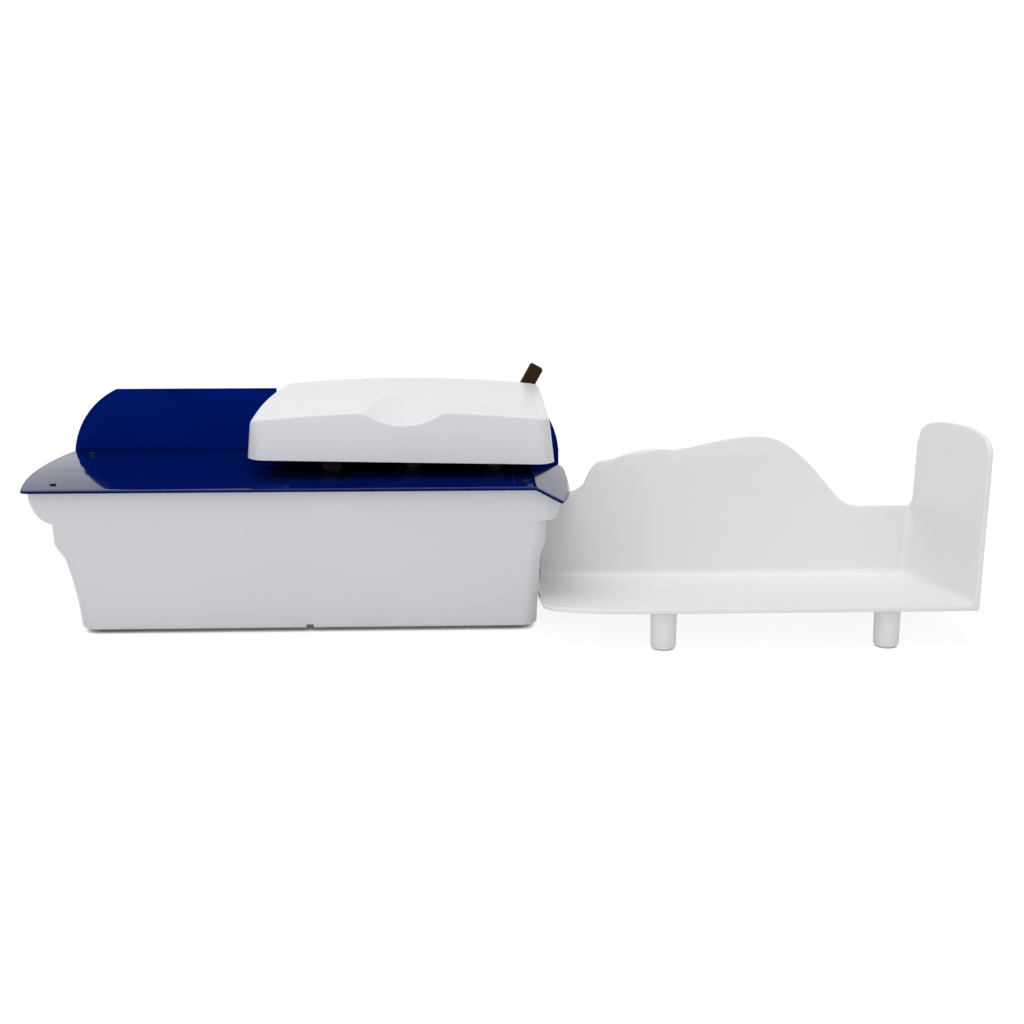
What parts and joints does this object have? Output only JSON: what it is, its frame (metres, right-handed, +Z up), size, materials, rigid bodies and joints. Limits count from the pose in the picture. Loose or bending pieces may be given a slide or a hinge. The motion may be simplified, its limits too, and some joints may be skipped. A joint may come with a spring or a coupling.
{
  "type": "letter opener machine",
  "caption": "Desk letter opener: white tub base, glossy navy feed deck with guide wall, hinged crowned cover, side lever and a free-standing tilted receiving tray.",
  "frame": {"origin": "on the table under the middle of the whole set's outline, machine and tray together", "axes": "+X along the feed from the loading end to the tray, +Y from the front to the rear, +Z up"},
  "size_m": [0.9074, 0.3746, 0.2333],
  "materials": {
    "white": "glossy white moulded plastic",
    "navy": "high-gloss navy enamel on sheet steel",
    "steel": "plain zinc-bright sheet and bar",
    "dark_steel": "blackened steel",
    "rubber": "matt black rubber",
    "pad_rubber": "matt brown friction rubber",
    "bronze": "sintered bronze",
    "brass": "turned brass",
    "motor_paint": "satin grey paint",
    "board": "green board with dark parts",
    "black_plastic": "fine-grained black plastic",
    "grey_plastic": "plain grey plastic",
    "lever_plastic": "dark brown-black plastic"
  },
  "bodies": {
    "machine": {"base_tub": "white", "base_plate": "steel", "rubber_feet": "rubber", "base_screws": "steel", "deck_plate": "navy", "guide_wall": "navy", "deck_screws": "dark_steel", "front_bearing_plate": "steel", "rear_bearing_plate": "steel", "shaft_bushes": "bronze", "feed_motor": "motor_paint", "motor_bracket": "steel", "drive_belt": "rubber", "transfer_belt": "rubber", "cutter_motor": "motor_paint", "cutter_bracket": "steel", "chip_chute": "black_plastic", "drawer_rails": "steel", "control_board": "board", "mains_inlet": "black_plastic", "switch_frame": "black_plastic", "rear_housing": "white", "hinge_brackets": "steel", "press_bridge": "dark_steel", "arm_rods": "steel"},
    "motor_rotor": {"motor_pulley": "brass"},
    "pick_roller": {"pick_shaft": "steel", "pick_tyres": "rubber", "pick_pulley": "brass"},
    "feed_roller": {"feed_shaft": "steel", "feed_tyres": "rubber", "feed_pulleys": "brass"},
    "exit_roller": {"exit_shaft": "steel", "exit_tyres": "rubber", "exit_pulley": "brass"},
    "cutter": {"cutter_head": "steel"},
    "drawer": {"chip_drawer": "white"},
    "rocker": {"power_rocker": "black_plastic"},
    "cover": {"top_cover": "white", "hinge_pins": "steel"},
    "separator": {"separator_arm": "dark_steel", "separator_pads": "pad_rubber"},
    "feed_press": {"feed_press_arm": "dark_steel"},
    "feed_press_roll": {"feed_press_rollers": "grey_plastic"},
    "exit_press": {"exit_press_arm": "dark_steel"},
    "exit_press_roll": {"exit_press_rollers": "grey_plastic"},
    "lever": {"gap_lever": "lever_plastic", "lift_shaft": "steel", "lift_cams": "grey_plastic"},
    "tray": {"tray_shell": "white", "tray_front_legs": "white", "tray_rear_feet": "white"}
  },
  "joints": [
    {"name": "feed_spin", "type": "hinge", "parent": "machine", "child": "feed_roller", "pos_m": [-0.08275, -0.00471, 0.1338], "axis": [0, 1, 0], "continuous": true},
    {"name": "pick_spin", "type": "hinge", "parent": "machine", "child": "pick_roller", "pos_m": [-0.16275, -0.00471, 0.1338], "axis": [0, 1, 0], "continuous": true},
    {"name": "exit_spin", "type": "hinge", "parent": "machine", "child": "exit_roller", "pos_m": [-0.00275, -0.00471, 0.1338], "axis": [0, 1, 0], "continuous": true},
    {"name": "motor_spin", "type": "hinge", "parent": "machine", "child": "motor_rotor", "pos_m": [-0.12275, 0.06329, 0.092], "axis": [0, 1, 0], "continuous": true},
    {"name": "cutter_spin", "type": "hinge", "parent": "machine", "child": "cutter", "pos_m": [-0.05275, 0.10779, 0.154], "axis": [0, 0, 1], "continuous": true},
    {"name": "drawer_slide", "type": "slide", "parent": "machine", "child": "drawer", "axis": [0, 1, 0], "range_m": [0, 0.09]},
    {"name": "switch_tilt", "type": "hinge", "parent": "machine", "child": "rocker", "pos_m": [-0.28275, 0.18029, 0.05], "axis": [-1, 0, 0], "range_deg": [0, 16]},
    {"name": "cover_hinge", "type": "hinge", "parent": "machine", "child": "cover", "pos_m": [-0.09475, 0.10929, 0.203], "axis": [-1, 0, 0], "range_deg": [0, 95]},
    {"name": "separator_lift", "type": "hinge", "parent": "machine", "child": "separator", "pos_m": [-0.20475, -0.00871, 0.178], "axis": [0, -1, 0], "range_deg": [0, 10]},
    {"name": "feed_press_lift", "type": "hinge", "parent": "machine", "child": "feed_press", "pos_m": [-0.12475, -0.00871, 0.178], "axis": [0, -1, 0], "range_deg": [0, 10]},
    {"name": "exit_press_lift", "type": "hinge", "parent": "machine", "child": "exit_press", "pos_m": [-0.04475, -0.00871, 0.178], "axis": [0, -1, 0], "range_deg": [0, 6]},
    {"name": "feed_press_spin", "type": "hinge", "parent": "feed_press", "child": "feed_press_roll", "pos_m": [-0.08275, -0.00871, 0.1581], "axis": [0, 1, 0], "continuous": true},
    {"name": "exit_press_spin", "type": "hinge", "parent": "exit_press", "child": "exit_press_roll", "pos_m": [-0.00275, -0.00871, 0.1581], "axis": [0, 1, 0], "continuous": true},
    {"name": "lever_swing", "type": "hinge", "parent": "machine", "child": "lever", "pos_m": [0.01555, 0.03529, 0.17], "axis": [0, -1, 0], "range_deg": [0, 58]},
    {"name": "tray_pull", "type": "slide", "parent": "machine", "child": "tray", "axis": [1, 0, 0], "range_m": [0, 0.15]}
  ],
  "couplings": [
    {"joint": "pick_spin", "follows": "feed_spin", "ratio": 1},
    {"joint": "exit_spin", "follows": "feed_spin", "ratio": 1},
    {"joint": "motor_spin", "follows": "feed_spin", "ratio": 1.3333},
    {"joint": "exit_press_lift", "follows": "lever_swing", "ratio": 0.086207}
  ]
}
